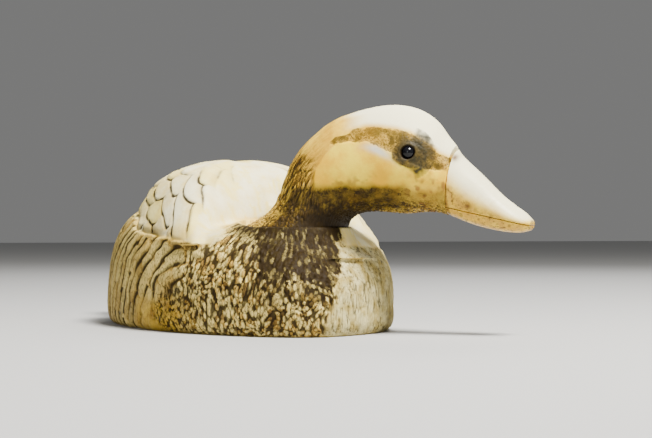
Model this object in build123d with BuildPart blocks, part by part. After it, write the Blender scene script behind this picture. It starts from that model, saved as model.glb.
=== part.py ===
"""Floating duck decoy: hollow wooden body, turning head on a sprung neck stud,
glass eyes, inset bill, screwed bottom board with ballast and a folding anchor ring.

+X is forward, +Y is the duck's left, +Z is up, all in millimetres.
The origin is on the flat bottom, under the middle of the body.
"""

import os
from math import cos, hypot, radians, sin

from build123d import *

os.makedirs("parts", exist_ok=True)

# ---------------------------------------------------------------- body
body_half_width = 61.0
body_front = 99.0
body_rear = -107.0
flank_height = 54.0
flank_tilt = 7.0
edge_round = 3.5
back_base = 40.0
back_height = 82.0
back_front = 32.0
back_rear = -81.0
back_half_width = 55.0
shoulder_reach = 27.0
tail_tip = -127.0
tail_height = 53.0
tail_root_half_width = 30.0
tail_tip_half_width = 8.0
tail_tip_thickness = 4.0
tail_root_depth = 24.0
tail_root_height = 42.0
tail_root_thickness = 26.0
wall = 9.0
breast_thickness = 22.0
valley_depth = 2.2
valley_radius = 11.0
valley_fade = 24.0

# ---------------------------------------------------------------- neck and head
neck_x = 54.0
head_turn = 45.0
seat_height = 44.0
neck_radius = 25.5
rim_clearance = 0.6
rim_gap = 0.3
collar_flare = 11.0
collar_depth = 10.0
nape_height = 55.0
nape_radius = 23.3
disc_radius = 20.0
disc_thickness = 1.2
disc_clearance = 0.2
head_half_width = 20.0
bill_half_width = 12.0
bill_seam_step = 0.4
mouth_gap = 0.15
mouth_drop = 12.5
eye_reach = 55.0
eye_height = 80.5
eye_toe_in = 14.0
eye_radius = 3.0
eye_bulge = 1.2
eye_back = 1.6
putty_radius = 4.6
putty_depth = 5.0
dowel_radius = 1.5
dowel_length = 20.0

# ---------------------------------------------------------------- neck hardware
stud_radius = 2.5
stud_fit = 0.05
stud_tail = 1.5
insert_radius = 4.0
insert_length = 16.0
insert_flange_radius = 6.0
insert_flange_thickness = 1.0
roof_thickness = 7.0
block_size = 20.0
block_thickness = 6.0
washer_radius = 7.0
washer_thickness = 1.0
spring_radius = 4.6
spring_wire = 0.6
spring_length = 6.5
spring_turns = 3.0
nut_flats = 8.0
nut_height = 4.0

# ---------------------------------------------------------------- bottom board
board_inset = 10.0
board_thickness = 10.0
board_clearance = 0.2
ledge_width = 9.0
ledge_thickness = 8.0
gasket_thickness = 0.8
board_screw_count = 8
board_screw_radius = 1.6
board_screw_head = 3.4
board_screw_length = 16.0
screw_sink = 0.4

# ---------------------------------------------------------------- ballast
ballast_length = 72.0
ballast_width = 34.0
ballast_thickness = 5.0
ballast_x = -43.0
ballast_sink = 0.4
ballast_clearance = 0.3
ballast_corner = 4.0
ballast_screw_pitch = 50.0
ballast_screw_length = 8.4

# ---------------------------------------------------------------- anchor ring
ring_x = 68.0
ring_radius = 8.0
ring_wire = 1.2
ring_clearance = 0.35
recess_margin = 2.6
recess_depth = 7.2
recess_corner = 4.0
eye_plate_length = 20.0
eye_plate_width = 9.0
eye_plate_thickness = 0.9
loop_wire = 0.9
plate_screw_pitch = 13.0
plate_screw_radius = 1.0
plate_screw_head = 2.0
plate_screw_length = 3.4

# ---------------------------------------------------------------- worked out
roof_height = seat_height - roof_thickness
ledge_height = board_thickness + gasket_thickness
neck_bottom = seat_height + rim_gap
block_bottom = roof_height - block_thickness
spring_top = block_bottom - washer_thickness
spring_bottom = spring_top - spring_length
nut_top = spring_bottom - washer_thickness
stud_bottom = nut_top - nut_height - stud_tail
stud_top = neck_bottom + insert_length
loop_radius = ring_wire + ring_clearance + loop_wire
ring_height = recess_depth - eye_plate_thickness - ring_clearance - ring_wire
heading = radians(head_turn)


def plan_outline(plane, front, rear, half_width, fullness=0.70, widest=0.5, reach=0.0):
    """A duck's plan on a plane: round breast, finer stern.

    The reach carries the shoulders forward, either side of the neck.
    """
    middle = front * widest + rear * (1 - widest)
    ahead = middle + (front - middle) * fullness + reach
    behind = middle - (middle - rear) * 0.72
    with BuildSketch(plane) as outline:
        with BuildLine():
            Spline(
                (front, 0),
                (ahead, half_width * fullness),
                (middle, half_width),
                (behind, half_width * 0.72),
                (rear, 0),
                (behind, -half_width * 0.72),
                (middle, -half_width),
                (ahead, -half_width * fullness),
                periodic=True,
            )
        make_face()
    return outline.sketch


def inset_outline(height, inset):
    """The body's plan at the bottom, drawn in by a margin all round."""
    plane = Plane.XY.offset(height)
    return plan_outline(
        plane, body_front - inset, body_rear + inset, body_half_width - inset
    )


def level(height, tilt):
    """A level plane, tipped so that it is lower at the breast."""
    return Plane.XY.offset(height).rotated((0, tilt, 0))


def hull_outlines():
    """Plans from the flat bottom up to the round top of the flanks."""
    lower = flank_height * 0.25
    outlines = []
    for height, tilt, front_inset, rear_inset, side_inset in (
        (0, 0, edge_round, edge_round, edge_round),
        (edge_round, 0, edge_round * 0.2, edge_round * 0.2, edge_round * 0.2),
        (lower, flank_tilt * 0.2, 0, 0, 0),
        (lower * 2, flank_tilt * 0.5, 0.5, 3.0, 0.8),
        (flank_height * 0.70, flank_tilt * 0.8, 4.0, 9.0, 3.2),
        (flank_height * 0.86, flank_tilt, 11.0, 20.0, 7.5),
        (flank_height * 0.96, flank_tilt, 24.0, 34.0, 15.0),
        (flank_height, flank_tilt, 48.0, 56.0, 32.0),
    ):
        front = body_front - front_inset
        rear = body_rear + rear_inset
        half_width = body_half_width - side_inset
        outlines.append(plan_outline(level(height, tilt), front, rear, half_width))
    return outlines


def back_levels(shrink=0.0):
    """Height, front, rear, half width and reach of the back's levels, base first."""
    length = back_front - back_rear
    rise = back_height - back_base
    levels = []
    for rise_share, front_share, rear_share, width_share in (
        (0.000, 0.000, 0.000, 1.000),
        (0.450, 0.035, 0.030, 0.836),
        (0.640, 0.090, 0.070, 0.736),
        (0.800, 0.170, 0.140, 0.600),
        (0.910, 0.260, 0.220, 0.436),
        (0.975, 0.360, 0.310, 0.255),
        (1.000, 0.430, 0.390, 0.127),
    ):
        height = back_base + (rise - shrink) * rise_share
        front = back_front - length * front_share - shrink
        rear = back_rear + length * rear_share + shrink
        half_width = back_half_width * width_share - shrink
        reach = shoulder_reach * (1 - rise_share) ** 1.4
        levels.append((height, front, rear, half_width, reach))
    return levels


def back_outlines(shrink=0.0):
    """Plans of the humped back from its base up, drawn in by shrink."""
    outlines = []
    for height, front, rear, half_width, reach in back_levels(shrink):
        if half_width > 4:
            plane = Plane.XY.offset(height)
            outlines.append(plan_outline(plane, front, rear, half_width, 0.80, 0.62, reach))
    return outlines


def head_point(reach, height, side=0.0):
    """A point given by its reach ahead of the neck axis, height and left offset."""
    return Vector(
        neck_x + reach * cos(heading) - side * sin(heading),
        reach * sin(heading) + side * cos(heading),
        height,
    )


def head_direction(reach, height, side=0.0):
    return head_point(reach, height, side) - head_point(0, 0, 0)


def head_section(front_point, rear_point, half_width, crown=0.707):
    """An oval across the neck, head or bill, between two points of the profile.

    A crown under 0.707 narrows the oval towards its rear or upper end.
    """
    (reach_1, height_1), (reach_2, height_2) = front_point, rear_point
    run = reach_2 - reach_1
    climb = height_2 - height_1
    plane = Plane(
        origin=head_point((reach_1 + reach_2) / 2, (height_1 + height_2) / 2),
        x_dir=head_direction(run, climb),
        z_dir=head_direction(climb, -run),
    )
    half_length = hypot(run, climb) / 2
    with BuildSketch(plane) as oval:
        with BuildLine():
            Spline(
                (half_length, 0),
                (half_length * 0.707, half_width * crown),
                (0, half_width),
                (-half_length * 0.707, half_width * 0.707),
                (-half_length, 0),
                (-half_length * 0.707, -half_width * 0.707),
                (0, -half_width),
                (half_length * 0.707, -half_width * crown),
                periodic=True,
            )
        make_face()
    return oval.sketch


def flat_screw(length, shank, head):
    """A countersunk screw pointing up, its flat head at height zero."""
    with BuildPart() as screw:
        with BuildSketch(Plane.XZ):
            with BuildLine():
                Polyline(
                    (0, 0),
                    (head, 0),
                    (head, 0.3),
                    (shank, 0.3 + head - shank),
                    (shank, length - shank * 1.5),
                    (0.2, length),
                    (0, length),
                    close=True,
                )
            make_face()
        revolve(axis=Axis.Z)
        with BuildSketch():
            Rectangle(head * 1.4, head * 0.28)
        extrude(amount=0.5, mode=Mode.SUBTRACT)
    return screw.part


def sunk_hole(shank, head, reach):
    """The cutter that a countersunk screw drops into from below."""
    with BuildPart() as cutter:
        with BuildSketch(Plane.XZ):
            with BuildLine():
                Polyline(
                    (0, -2),
                    (head + 0.1, -2),
                    (head + 0.1, 0.4),
                    (shank, 0.4 + head + 0.1 - shank),
                    (shank, reach),
                    (0, reach),
                    close=True,
                )
            make_face()
        revolve(axis=Axis.Z)
    return cutter.part


def rounded_pocket(length, width, corner, top, bottom=0.0):
    with BuildPart() as pocket:
        with BuildSketch(Plane.XY.offset(bottom)):
            RectangleRounded(length, width, corner)
        extrude(amount=top - bottom)
    return pocket.part


def save(piece, name):
    piece.part.label = name
    export_step(piece.part, f"parts/{name}.step")


# ================================================================ body shell
screw_line = inset_outline(0, board_inset + ledge_width / 2).wire()
screw_places = [
    screw_line @ ((index + 0.5) / board_screw_count)
    for index in range(board_screw_count)
]
screw_seats = [(place.X, place.Y, screw_sink) for place in screw_places]

with BuildPart() as body_shell:
    # flanks, breast and stern
    loft(hull_outlines())

    # humped back
    loft(back_outlines())

    # valley between the two sides of the back, dying out towards the tail
    above = back_levels(valley_depth - valley_radius)
    (top, _, top_rear, *_) = above[-1]
    with BuildLine():
        valley_line = Spline(
            *[(front, 0, height) for height, front, *_ in above[1:]],
            (top_rear, 0, top + valley_depth * 0.3),
            (top_rear - valley_fade, 0, top + valley_depth),
        )
    with BuildSketch(Plane(origin=valley_line @ 0, z_dir=valley_line % 0)):
        Circle(valley_radius)
    sweep(path=valley_line, mode=Mode.SUBTRACT)

    # collar that flares from the neck's seat into the breast
    with BuildSketch(Plane.XZ):
        with BuildLine():
            rim = neck_radius + rim_clearance
            Line((neck_x, seat_height), (neck_x + rim, seat_height))
            ThreePointArc(
                (neck_x + rim, seat_height),
                (neck_x + rim + collar_flare * 0.35, seat_height - collar_depth * 0.5),
                (neck_x + rim + collar_flare, seat_height - collar_depth),
            )
            Line(
                (neck_x + rim + collar_flare, seat_height - collar_depth),
                (neck_x, seat_height - collar_depth),
            )
            Line((neck_x, seat_height - collar_depth), (neck_x, seat_height))
        make_face()
    revolve(axis=Axis((neck_x, 0, 0), (0, 0, 1)))

    # tail, round in plan and thin at its tip
    root = body_rear + tail_root_depth
    for share in (0, 0.4, 0.7, 0.9, 1):
        x = root + (tail_tip - root) * share
        height = tail_height - (tail_height - tail_root_height) * (1 - share) ** 1.5
        spread = (tail_root_half_width - tail_tip_half_width) * (1 - share**2.2) ** 0.5
        taper = (tail_root_thickness - tail_tip_thickness) * (1 - share**0.6)
        with BuildSketch(Plane.YZ.offset(x)):
            with Locations((0, height)):
                Ellipse(tail_tip_half_width + spread, (tail_tip_thickness + taper) / 2)
    loft()

    # round seat for the neck, closing in behind the nape as the neck does
    with BuildSketch(Plane.XZ):
        with BuildLine():
            Polyline(
                (neck_x, seat_height),
                (neck_x + neck_radius + rim_clearance, seat_height),
                (neck_x + nape_radius + rim_clearance, nape_height),
                (neck_x + nape_radius + rim_clearance, back_height + 1),
                (neck_x, back_height + 1),
                close=True,
            )
        make_face()
    revolve(axis=Axis((neck_x, 0, 0), (0, 0, 1)), mode=Mode.SUBTRACT)

    # sunk place for the friction disc
    with BuildSketch(Plane.XY.offset(neck_bottom - disc_thickness)):
        with Locations((neck_x, 0)):
            Circle(disc_radius + disc_clearance)
    extrude(amount=disc_thickness, mode=Mode.SUBTRACT)

    # rebate that the bottom board lies in
    extrude(inset_outline(0, board_inset), amount=ledge_height, mode=Mode.SUBTRACT)

    # hollow between the ledge and the roof under the neck
    hollow = [
        inset_outline(ledge_height, board_inset + ledge_width),
        inset_outline(ledge_height + ledge_thickness, board_inset + ledge_width),
        inset_outline(ledge_height + ledge_thickness + 4, wall + 5),
        plan_outline(
            Plane.XY.offset(roof_height),
            body_front - wall - breast_thickness,
            body_rear + wall + 9,
            body_half_width - wall - 9,
        ),
    ]
    loft(hollow, ruled=True, mode=Mode.SUBTRACT)

    # hollow of the back, opened down into it
    back_hollow = back_outlines(wall)
    loft(back_hollow, ruled=True, mode=Mode.SUBTRACT)
    extrude(back_hollow[0], amount=roof_height - back_base - 1, mode=Mode.SUBTRACT)

    # bores for the neck stud and the board's screws
    with Locations((neck_x, 0, 0)):
        Cylinder(
            stud_radius + stud_fit,
            back_height,
            align=(Align.CENTER, Align.CENTER, Align.MIN),
            mode=Mode.SUBTRACT,
        )
    with Locations(*screw_seats):
        Cylinder(
            board_screw_radius,
            board_screw_length,
            align=(Align.CENTER, Align.CENTER, Align.MIN),
            mode=Mode.SUBTRACT,
        )
save(body_shell, "body_shell")


# ================================================================ bottom board
board_screw_hole = sunk_hole(board_screw_radius, board_screw_head, board_screw_length)
ballast_screw_hole = sunk_hole(board_screw_radius, board_screw_head, ballast_screw_length)
plate_screw_hole = sunk_hole(plate_screw_radius, plate_screw_head, plate_screw_length)
pocket_depth = ballast_thickness + ballast_sink
plate_bottom = recess_depth - eye_plate_thickness
ballast_seats = [
    (ballast_x - ballast_screw_pitch / 2, 0, ballast_sink + screw_sink),
    (ballast_x + ballast_screw_pitch / 2, 0, ballast_sink + screw_sink),
]
plate_seats = [
    (ring_x, -plate_screw_pitch / 2, plate_bottom),
    (ring_x, plate_screw_pitch / 2, plate_bottom),
]
recess_front = ring_x + loop_radius + loop_wire + recess_margin
recess_rear = ring_x - ring_radius * 2 - ring_wire - recess_margin
recess_width = (ring_radius + ring_wire + recess_margin) * 2

with BuildPart() as bottom_board:
    extrude(inset_outline(0, board_inset + board_clearance), amount=board_thickness)
    with Locations((ballast_x, 0, 0)):
        add(
            rounded_pocket(
                ballast_length + ballast_clearance * 2,
                ballast_width + ballast_clearance * 2,
                ballast_corner + ballast_clearance,
                pocket_depth,
            ),
            mode=Mode.SUBTRACT,
        )
    with Locations(((recess_front + recess_rear) / 2, 0, 0)):
        add(
            rounded_pocket(
                recess_front - recess_rear, recess_width, recess_corner, recess_depth
            ),
            mode=Mode.SUBTRACT,
        )
    with Locations(*screw_seats):
        add(board_screw_hole, mode=Mode.SUBTRACT)
    with Locations(*ballast_seats):
        Cylinder(
            board_screw_radius,
            ballast_screw_length,
            align=(Align.CENTER, Align.CENTER, Align.MIN),
            mode=Mode.SUBTRACT,
        )
    with Locations(*plate_seats):
        add(plate_screw_hole, mode=Mode.SUBTRACT)
save(bottom_board, "bottom_board")

with BuildPart() as bottom_gasket:
    gasket_outline = inset_outline(board_thickness, board_inset + board_clearance)
    extrude(gasket_outline, amount=gasket_thickness)
    gasket_hole = inset_outline(board_thickness, board_inset + ledge_width)
    extrude(gasket_hole, amount=gasket_thickness, mode=Mode.SUBTRACT)
    with Locations(*screw_seats):
        add(board_screw_hole, mode=Mode.SUBTRACT)
save(bottom_gasket, "bottom_gasket")

board_screw = flat_screw(board_screw_length, board_screw_radius, board_screw_head)
with BuildPart() as board_screws:
    with Locations(*screw_seats):
        add(board_screw)
save(board_screws, "board_screws")


# ================================================================ ballast
with BuildPart() as ballast_weight:
    with Locations((ballast_x, 0, 0)):
        add(
            rounded_pocket(
                ballast_length, ballast_width, ballast_corner, pocket_depth, ballast_sink
            )
        )
    chamfer(ballast_weight.faces().sort_by(Axis.Z)[0].edges(), 0.8)
    with Locations(*ballast_seats):
        add(ballast_screw_hole, mode=Mode.SUBTRACT)
save(ballast_weight, "ballast_weight")

ballast_screw = flat_screw(ballast_screw_length, board_screw_radius, board_screw_head)
with BuildPart() as ballast_screws:
    with Locations(*ballast_seats):
        add(ballast_screw)
save(ballast_screws, "ballast_screws")


# ================================================================ anchor ring
loop_foot = plate_bottom + loop_wire / 2

with BuildPart() as line_eye:
    with BuildSketch(Plane.XY.offset(plate_bottom)):
        with Locations((ring_x, 0)):
            RectangleRounded(eye_plate_width, eye_plate_length, 2)
    extrude(amount=eye_plate_thickness)
    with BuildLine(Plane.XZ) as loop_path:
        Line((ring_x - loop_radius, loop_foot), (ring_x - loop_radius, ring_height))
        ThreePointArc(
            (ring_x - loop_radius, ring_height),
            (ring_x, ring_height - loop_radius),
            (ring_x + loop_radius, ring_height),
        )
        Line((ring_x + loop_radius, ring_height), (ring_x + loop_radius, loop_foot))
    with BuildSketch(Plane(origin=loop_path.line @ 0, z_dir=(0, 0, -1))):
        Circle(loop_wire)
    sweep(path=loop_path.line)
    with Locations(*plate_seats):
        add(plate_screw_hole, mode=Mode.SUBTRACT)
save(line_eye, "line_eye")

plate_screw = flat_screw(plate_screw_length, plate_screw_radius, plate_screw_head)
with BuildPart() as line_eye_screws:
    with Locations(*plate_seats):
        add(plate_screw)
save(line_eye_screws, "line_eye_screws")

with BuildPart() as anchor_ring:
    with BuildSketch(Plane.XZ):
        with Locations((ring_radius, 0)):
            Circle(ring_wire)
    revolve(axis=Axis.Z)
anchor_ring.part = Pos(ring_x - ring_radius, 0, ring_height) * anchor_ring.part
save(anchor_ring, "anchor_ring")


# ================================================================ head and neck
bill_root = (74.9, 68.0)
eye_axis = radians(eye_toe_in)
sides = (("left", 1), ("right", -1))

cheek_section = head_section((52.0, 54.1), (22.0, 98.4), head_half_width)
seam_plane = Plane(
    origin=head_point(*bill_root),
    x_dir=head_direction(0, 0, 1),
    z_dir=head_direction(30.0, -4.5),
)

with BuildPart() as head_form:
    # neck, from its round foot up into the cheeks
    neck_sections = [
        head_section((neck_radius, neck_bottom), (-neck_radius, neck_bottom), neck_radius),
        head_section(
            (neck_radius - 0.9, neck_bottom + 3.7),
            (2.3 - neck_radius, neck_bottom + 3.9),
            neck_radius - 2.1,
        ),
        head_section((28.5, 53.4), (-10.5, 55.8), 20.0),
        head_section((36.0, 55.2), (-4.0, 70.0), 18.8),
        head_section((44.0, 55.0), (4.6, 85.4), head_half_width * 0.965),
        head_section((48.0, 54.5), (13.2, 92.9), head_half_width * 0.99),
        cheek_section,
    ]
    loft(neck_sections)

    # head, from the cheeks forward to the root of the bill
    face_sections = [
        cheek_section,
        head_section((58.0, 54.3), (39.5, 102.4), head_half_width * 0.985, 0.69),
        head_section((64.0, 54.7), (56.0, 101.5), head_half_width * 0.90, 0.66),
        head_section((69.0, 54.3), (67.0, 95.4), head_half_width * 0.76, 0.66),
        head_section((74.0, 53.0), (78.6, 82.6), bill_half_width, 0.66),
    ]
    loft(face_sections)
    split(bisect_by=seam_plane, keep=Keep.BOTTOM)

with BuildPart() as bill_form:
    step = bill_seam_step
    bill_sections = [
        head_section((71.5, 53.8 + step), (75.8, 86.0 - step), bill_half_width - step),
        head_section((82.0, 49.8), (85.2, 74.0), bill_half_width * 0.84),
        head_section((91.0, 47.2), (93.2, 66.2), bill_half_width * 0.79),
        head_section((100.0, 45.7), (101.2, 59.0), bill_half_width * 0.82),
        head_section((106.5, 45.6), (107.4, 54.4), bill_half_width * 0.72),
        head_section((110.4, 46.8), (110.8, 51.0), bill_half_width * 0.42),
    ]
    loft(bill_sections)
    split(bisect_by=seam_plane, keep=Keep.TOP)

mouth = radians(mouth_drop)
mouth_plane = Plane(
    origin=head_point(73.0, 56.7),
    x_dir=head_direction(cos(mouth), -sin(mouth)),
    z_dir=head_direction(sin(mouth), cos(mouth)),
)
with BuildPart() as bill_dowel:
    with BuildSketch(seam_plane.offset(-dowel_length / 2)):
        Circle(dowel_radius)
    extrude(amount=dowel_length)
    chamfer(bill_dowel.edges().filter_by(GeomType.CIRCLE), 0.3)
save(bill_dowel, "bill_dowel")

dowel_bore = extrude(seam_plane.offset(-dowel_length / 2) * Circle(dowel_radius), dowel_length)

with BuildPart() as upper_bill:
    add(bill_form.part)
    split(bisect_by=mouth_plane.offset(mouth_gap), keep=Keep.TOP)
    add(dowel_bore, mode=Mode.SUBTRACT)
save(upper_bill, "upper_bill")

with BuildPart() as lower_bill:
    add(bill_form.part)
    split(bisect_by=mouth_plane, keep=Keep.BOTTOM)
save(lower_bill, "lower_bill")


def eye_plane(side):
    """Outward plane on the middle of the head, at one eye."""
    return Plane(
        origin=head_point(eye_reach, eye_height),
        x_dir=(0, 0, 1),
        z_dir=head_direction(sin(eye_axis), 0, side * cos(eye_axis)),
    )


# how far the cheek stands out from the middle of the head at the eye
eye_ray = Line(eye_plane(1).origin, eye_plane(1).offset(60).origin, mode=Mode.PRIVATE)
eye_offset = sum(edge.length for edge in (head_form.part & eye_ray).edges())
eye_centre_offset = eye_offset + eye_bulge - eye_radius

for name, side in sides:
    with BuildPart() as eye:
        Sphere(eye_radius)
        split(bisect_by=Plane.XY.offset(-eye_back), keep=Keep.TOP)
    eye.part = eye_plane(side).offset(eye_centre_offset).location * eye.part
    save(eye, f"eye_{name}")

    with BuildPart() as eye_putty:
        with BuildSketch(eye_plane(side).offset(eye_offset - putty_depth)):
            Circle(putty_radius)
        extrude(amount=putty_depth * 2)
        add(head_form.part, mode=Mode.INTERSECT)
        add(eye.part, mode=Mode.SUBTRACT)
    save(eye_putty, f"eye_putty_{name}")

with BuildPart() as head:
    add(head_form.part)
    for name, side in sides:
        with BuildSketch(eye_plane(side).offset(eye_offset - putty_depth)):
            Circle(putty_radius)
        extrude(amount=putty_depth * 2, mode=Mode.SUBTRACT)
    add(dowel_bore, mode=Mode.SUBTRACT)
    with Locations((neck_x, 0, neck_bottom)):
        Cylinder(
            insert_radius,
            insert_length,
            align=(Align.CENTER, Align.CENTER, Align.MIN),
            mode=Mode.SUBTRACT,
        )
        Cylinder(
            insert_flange_radius,
            insert_flange_thickness,
            align=(Align.CENTER, Align.CENTER, Align.MIN),
            mode=Mode.SUBTRACT,
        )
save(head, "head")


# ================================================================ neck hardware
def tube(bottom, top, outer, inner):
    """An upright ring or sleeve about the neck's axis."""
    with BuildPart() as sleeve:
        with BuildSketch(Plane.XY.offset(bottom)):
            with Locations((neck_x, 0)):
                Circle(outer)
                Circle(inner, mode=Mode.SUBTRACT)
        extrude(amount=top - bottom)
    return sleeve


with BuildPart() as neck_insert:
    add(tube(neck_bottom, stud_top, insert_radius, stud_radius).part)
    flange_top = neck_bottom + insert_flange_thickness
    add(tube(neck_bottom, flange_top, insert_flange_radius, stud_radius).part)
save(neck_insert, "neck_insert")

with BuildPart() as neck_stud:
    with BuildSketch(Plane.XY.offset(stud_bottom)):
        with Locations((neck_x, 0)):
            Circle(stud_radius)
    extrude(amount=stud_top - stud_bottom)
    chamfer(neck_stud.edges().filter_by(GeomType.CIRCLE), 0.5)
save(neck_stud, "neck_stud")

disc_bottom = neck_bottom - disc_thickness
friction_disc = tube(disc_bottom, neck_bottom, disc_radius, insert_flange_radius)
save(friction_disc, "friction_disc")

with BuildPart() as neck_block:
    with BuildSketch(Plane.XY.offset(block_bottom)):
        with Locations((neck_x, 0)):
            RectangleRounded(block_size, block_size, 3)
            Circle(stud_radius + stud_fit, mode=Mode.SUBTRACT)
    extrude(amount=block_thickness)
save(neck_block, "neck_block")

upper_washer = tube(spring_top, block_bottom, washer_radius, stud_radius + stud_fit)
save(upper_washer, "upper_washer")
lower_washer = tube(nut_top, spring_bottom, washer_radius, stud_radius + stud_fit)
save(lower_washer, "lower_washer")

with BuildPart() as neck_spring:
    spring_rise = spring_length - spring_wire * 2
    with BuildLine() as coil:
        Helix(
            pitch=spring_rise / spring_turns,
            height=spring_rise,
            radius=spring_radius,
            center=(neck_x, 0, spring_bottom + spring_wire),
        )
    with BuildSketch(Plane(origin=coil.line @ 0, z_dir=coil.line % 0)):
        Circle(spring_wire)
    sweep(path=coil.line, is_frenet=True)
save(neck_spring, "neck_spring")

with BuildPart() as neck_nut:
    with BuildSketch(Plane.XY.offset(nut_top - nut_height)):
        with Locations((neck_x, 0)):
            RegularPolygon(nut_flats / 2, 6, major_radius=False)
            Circle(stud_radius, mode=Mode.SUBTRACT)
    extrude(amount=nut_height)
save(neck_nut, "neck_nut")
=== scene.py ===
import math

import bmesh
import bpy
import numpy as np
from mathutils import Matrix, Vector
from mathutils.kdtree import KDTree


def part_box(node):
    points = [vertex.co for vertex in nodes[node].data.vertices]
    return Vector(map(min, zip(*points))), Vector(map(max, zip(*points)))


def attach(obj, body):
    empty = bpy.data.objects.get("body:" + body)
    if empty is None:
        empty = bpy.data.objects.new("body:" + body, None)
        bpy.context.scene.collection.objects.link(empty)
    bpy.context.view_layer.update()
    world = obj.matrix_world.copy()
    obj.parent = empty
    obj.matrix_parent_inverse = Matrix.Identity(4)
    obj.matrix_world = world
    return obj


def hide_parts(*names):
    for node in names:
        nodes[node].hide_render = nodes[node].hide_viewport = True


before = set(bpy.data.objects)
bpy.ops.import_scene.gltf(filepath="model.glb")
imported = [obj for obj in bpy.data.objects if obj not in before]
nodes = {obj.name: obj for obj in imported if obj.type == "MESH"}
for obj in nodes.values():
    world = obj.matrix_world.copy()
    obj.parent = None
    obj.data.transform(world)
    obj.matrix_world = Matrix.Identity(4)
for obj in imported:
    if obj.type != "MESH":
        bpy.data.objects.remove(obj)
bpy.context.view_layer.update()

mm = 0.001


# small helpers
def deselectAll():
    if bpy.context.mode != "OBJECT":
        bpy.ops.object.mode_set(mode="OBJECT")
    bpy.ops.object.select_all(action="DESELECT")


def pickOnly(piece):
    deselectAll()
    piece.select_set(True)
    bpy.context.view_layer.objects.active = piece


def copyNode(nodeName, pieceName):
    piece = bpy.data.objects.new(pieceName, nodes[nodeName].data.copy())
    bpy.context.scene.collection.objects.link(piece)
    piece.data.materials.clear()
    pickOnly(piece)
    bpy.ops.mesh.customdata_custom_splitnormals_clear()
    bpy.ops.object.mode_set(mode="EDIT")
    bpy.ops.mesh.select_all(action="SELECT")
    bpy.ops.mesh.remove_doubles(threshold=0.00001)
    bpy.ops.object.mode_set(mode="OBJECT")
    return piece


def keepSkin(piece, startFace, sharpAngle, alsoKeep):
    # walks over the outside from one face, stops at sharp edges, and drops what it didn't reach
    work = bmesh.new()
    work.from_mesh(piece.data)
    work.faces.ensure_lookup_table()
    first = max(work.faces, key=startFace)
    reached = {first.index}
    waiting = [first]
    while waiting:
        face = waiting.pop()
        for edge in face.edges:
            if len(edge.link_faces) != 2:
                continue
            other = edge.link_faces[0] if edge.link_faces[1] == face else edge.link_faces[1]
            if other.index in reached or face.normal.angle(other.normal, 0) > sharpAngle:
                continue
            reached.add(other.index)
            waiting.append(other)
    lost = [f for f in work.faces if f.index not in reached and not alsoKeep(f)]
    bmesh.ops.delete(work, geom=lost, context="FACES")
    work.to_mesh(piece.data)
    work.free()


def refine(piece, voxel):
    pickOnly(piece)
    remesh = piece.modifiers.new("fine", "REMESH")
    remesh.mode = "VOXEL"
    remesh.voxel_size = voxel
    remesh.use_smooth_shade = True
    bpy.ops.object.modifier_apply(modifier="fine")


def thinOut(piece, triangles):
    pickOnly(piece)
    thin = piece.modifiers.new("thin", "DECIMATE")
    thin.ratio = min(1.0, triangles / (2 * len(piece.data.polygons)))
    bpy.ops.object.modifier_apply(modifier="thin")


def readPoints(piece):
    flat = np.zeros(len(piece.data.vertices) * 3)
    piece.data.vertices.foreach_get("co", flat)
    return flat.reshape(-1, 3) * 1000


def writePoints(piece, points):
    piece.data.vertices.foreach_set("co", (points * mm).ravel())
    piece.data.update()


def readNormals(piece):
    flat = np.zeros(len(piece.data.vertices) * 3)
    piece.data.vertex_normals.foreach_get("vector", flat)
    return flat.reshape(-1, 3)


def readEdges(piece):
    flat = np.zeros(len(piece.data.edges) * 2, dtype=np.int64)
    piece.data.edges.foreach_get("vertices", flat)
    return flat.reshape(-1, 2)


def relax(points, edges, rounds, amount=0.5, back=-0.52):
    first, second = edges[:, 0], edges[:, 1]
    count = len(points)
    joined = np.bincount(first, minlength=count) + np.bincount(second, minlength=count)
    joined = np.maximum(joined, 1)[:, None]
    amount = np.broadcast_to(np.asarray(amount, dtype=float), count)[:, None]
    for turn in range(rounds):
        mean = np.stack([
            np.bincount(first, weights=points[second, axis], minlength=count)
            + np.bincount(second, weights=points[first, axis], minlength=count)
            for axis in range(3)
        ], axis=1) / joined
        pull = amount if turn % 2 == 0 or back == 0 else amount * back / 0.5
        points = points + (mean - points) * pull
    return points


def keepInside(points, nodeName):
    low, high = np.array([list(corner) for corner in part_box(nodeName)]) * 1000
    return np.clip(points, low, high)


def smoothShade(piece):
    pickOnly(piece)
    bpy.ops.object.shade_smooth()


def storeTone(piece, name, values):
    layer = piece.data.attributes.new(name, "FLOAT", "POINT")
    layer.data.foreach_set("value", np.clip(values, 0, 1).astype(np.float32))


# patterns, worked out in millimetres
def rise(value, low, high):
    part = np.clip((value - low) / (high - low), 0, 1)
    return part * part * (3 - 2 * part)


def bell(value, width):
    return np.exp(-(value / width) ** 2)


def columns(*values):
    return np.stack(values, axis=1)


def noiseColumns(points, size, *seeds):
    return columns(*[softNoise(points, size, seed) for seed in seeds])


def cellRandom(seed, *cells):
    mixed = np.full(np.shape(cells[0]), seed * 2654435761 % 2**32, dtype=np.uint64)
    for cell in cells:
        mixed = mixed ^ (np.asarray(cell, dtype=np.int64) + 100000).astype(np.uint64)
        mixed = (mixed * np.uint64(0x9E3779B1)) & np.uint64(0xFFFFFFFF)
        mixed = mixed ^ (mixed >> np.uint64(15))
        mixed = (mixed * np.uint64(0x85EBCA77)) & np.uint64(0xFFFFFFFF)
        mixed = mixed ^ (mixed >> np.uint64(13))
    return mixed.astype(float) / 4294967296.0


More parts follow.
